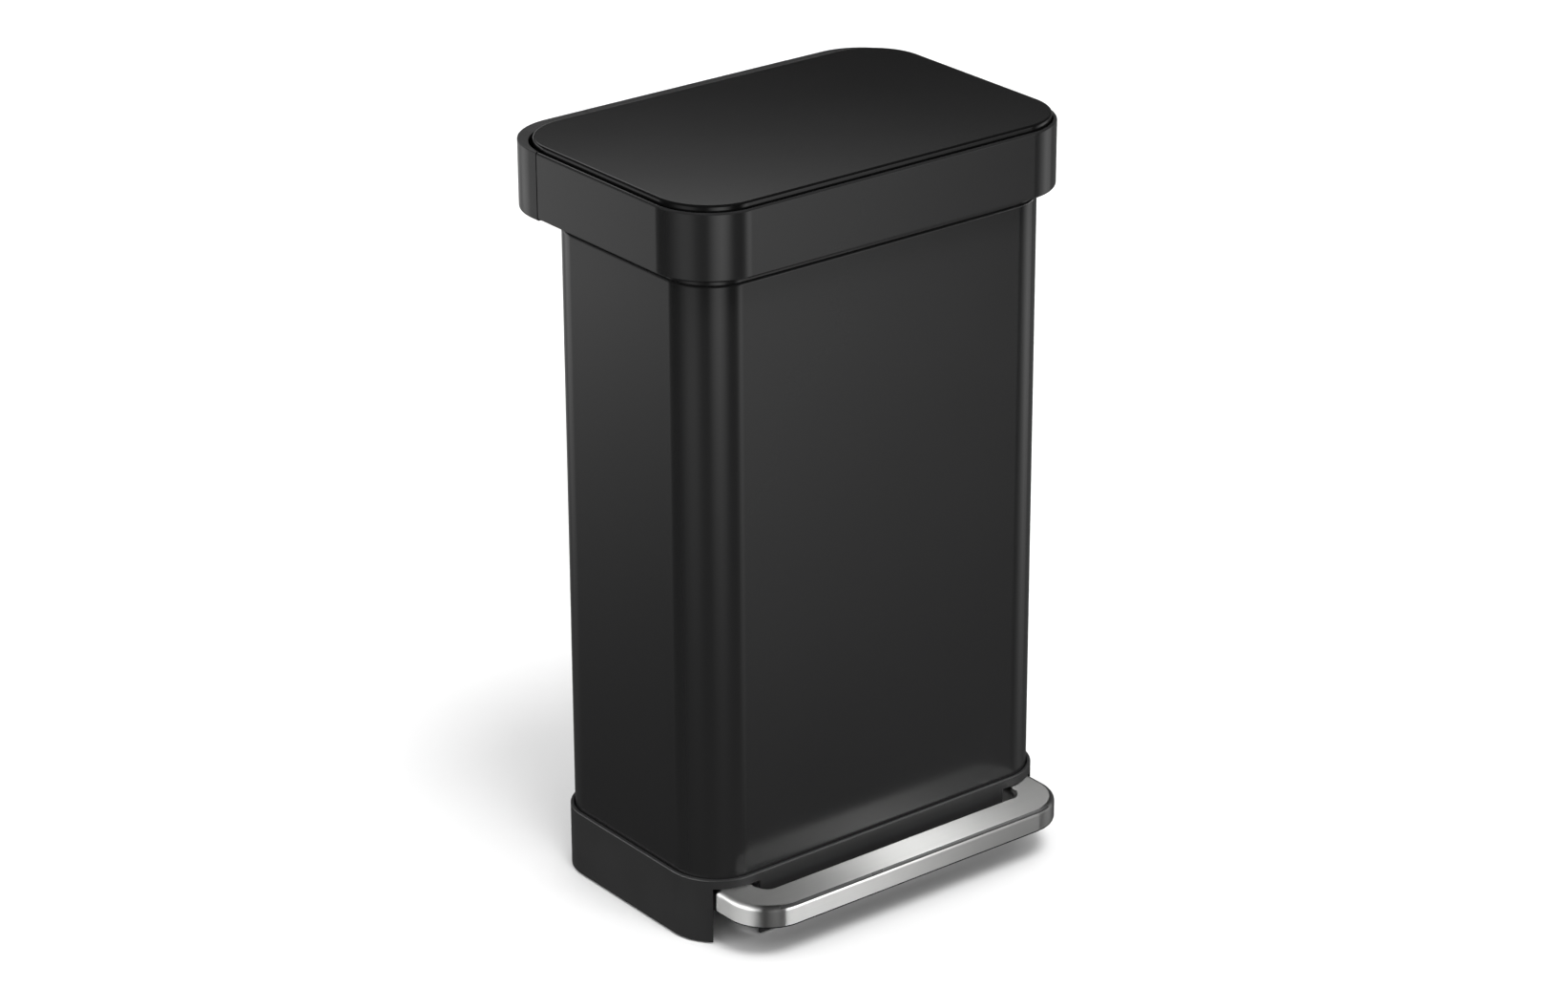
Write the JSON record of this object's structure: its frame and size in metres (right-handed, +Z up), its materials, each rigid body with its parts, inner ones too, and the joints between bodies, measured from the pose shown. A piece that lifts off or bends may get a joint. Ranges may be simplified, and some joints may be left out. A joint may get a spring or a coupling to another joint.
{
  "type": "pedal trash can",
  "caption": "Tall rectangular pedal trash can with a steel body, a hinged flat lid, a flip-up liner rim, a wide steel foot pedal and a lift-out inner bucket.",
  "frame": {"origin": "on the floor, under the middle of the object's bounding box", "axes": "+Z up, -Y towards the user and the pedal, +X to the right seen from the front"},
  "size_m": [0.396, 0.313, 0.65],
  "materials": {
    "black_steel": "satin black coated steel",
    "black_plastic": "fine matte black moulded plastic",
    "brushed_steel": "brushed stainless steel with polished edges",
    "zinc_steel": "zinc plated steel",
    "rubber": "soft black rubber",
    "grey_plastic": "smooth grey moulded plastic"
  },
  "bodies": {
    "can": {"body_shell": "black_steel", "base_moulding": "black_plastic", "top_collar": "black_plastic", "rear_housing": "black_plastic", "hinge_cover": "black_plastic", "damper_clamp": "black_plastic", "rod_guide_lower": "black_plastic", "rod_guide_upper": "black_plastic", "rod_channel": "black_plastic", "pedal_bearing_left": "black_plastic", "pedal_bearing_right": "black_plastic", "body_floor": "zinc_steel", "damper_cylinder": "zinc_steel", "hinge_bracket_left": "zinc_steel", "hinge_bracket_right": "zinc_steel", "hinge_pin_left": "zinc_steel", "hinge_pin_right": "zinc_steel", "base_screw_front_left": "zinc_steel", "base_screw_front_right": "zinc_steel", "base_screw_back_left": "zinc_steel", "base_screw_back_right": "zinc_steel", "bearing_screw_front_left": "zinc_steel", "bearing_screw_front_right": "zinc_steel", "bearing_screw_back_left": "zinc_steel", "bearing_screw_back_right": "zinc_steel", "foot_front_left": "rubber", "foot_front_right": "rubber", "foot_back_left": "rubber", "foot_back_right": "rubber", "inner_bucket": "grey_plastic"},
    "lid": {"lid_skin": "black_steel", "lid_tray": "black_plastic", "lid_lever": "black_plastic", "lid_lever_screw_left": "zinc_steel", "lid_lever_screw_right": "zinc_steel"},
    "rim": {"rim_band": "black_steel", "liner_frame": "black_plastic", "lid_bumper_left": "rubber", "lid_bumper_right": "rubber"},
    "pedal": {"pedal_cover": "brushed_steel", "pedal_liner": "black_plastic", "pedal_axle": "zinc_steel", "rear_lever": "zinc_steel", "axle_clip_left": "zinc_steel", "axle_clip_right": "zinc_steel"},
    "push_rod": {"push_rod": "zinc_steel", "rod_foot": "black_plastic", "rod_head": "black_plastic", "damper_link": "black_plastic", "damper_piston": "zinc_steel"}
  },
  "joints": [
    {"name": "rim_flip", "type": "hinge", "parent": "can", "child": "rim", "pos_m": [0, 0.092, 0.6445], "axis": [-1, 0, 0], "range_deg": [0, 25]},
    {"name": "lid_hinge", "type": "hinge", "parent": "rim", "child": "lid", "pos_m": [0, 0.092, 0.6445], "axis": [-1, 0, 0], "range_deg": [0, 75]},
    {"name": "pedal_hinge", "type": "hinge", "parent": "can", "child": "pedal", "pos_m": [0, -0.0462, 0.033], "axis": [1, 0, 0], "range_deg": [0, 12.6]},
    {"name": "rod_slide", "type": "slide", "parent": "can", "child": "push_rod", "axis": [0, 0, 1], "range_m": [0, 0.0262]}
  ],
  "couplings": [
    {"joint": "pedal_hinge", "follows": "lid_hinge", "ratio": 0.1676},
    {"joint": "rod_slide", "follows": "lid_hinge", "m_per_rad": 0.01998}
  ]
}
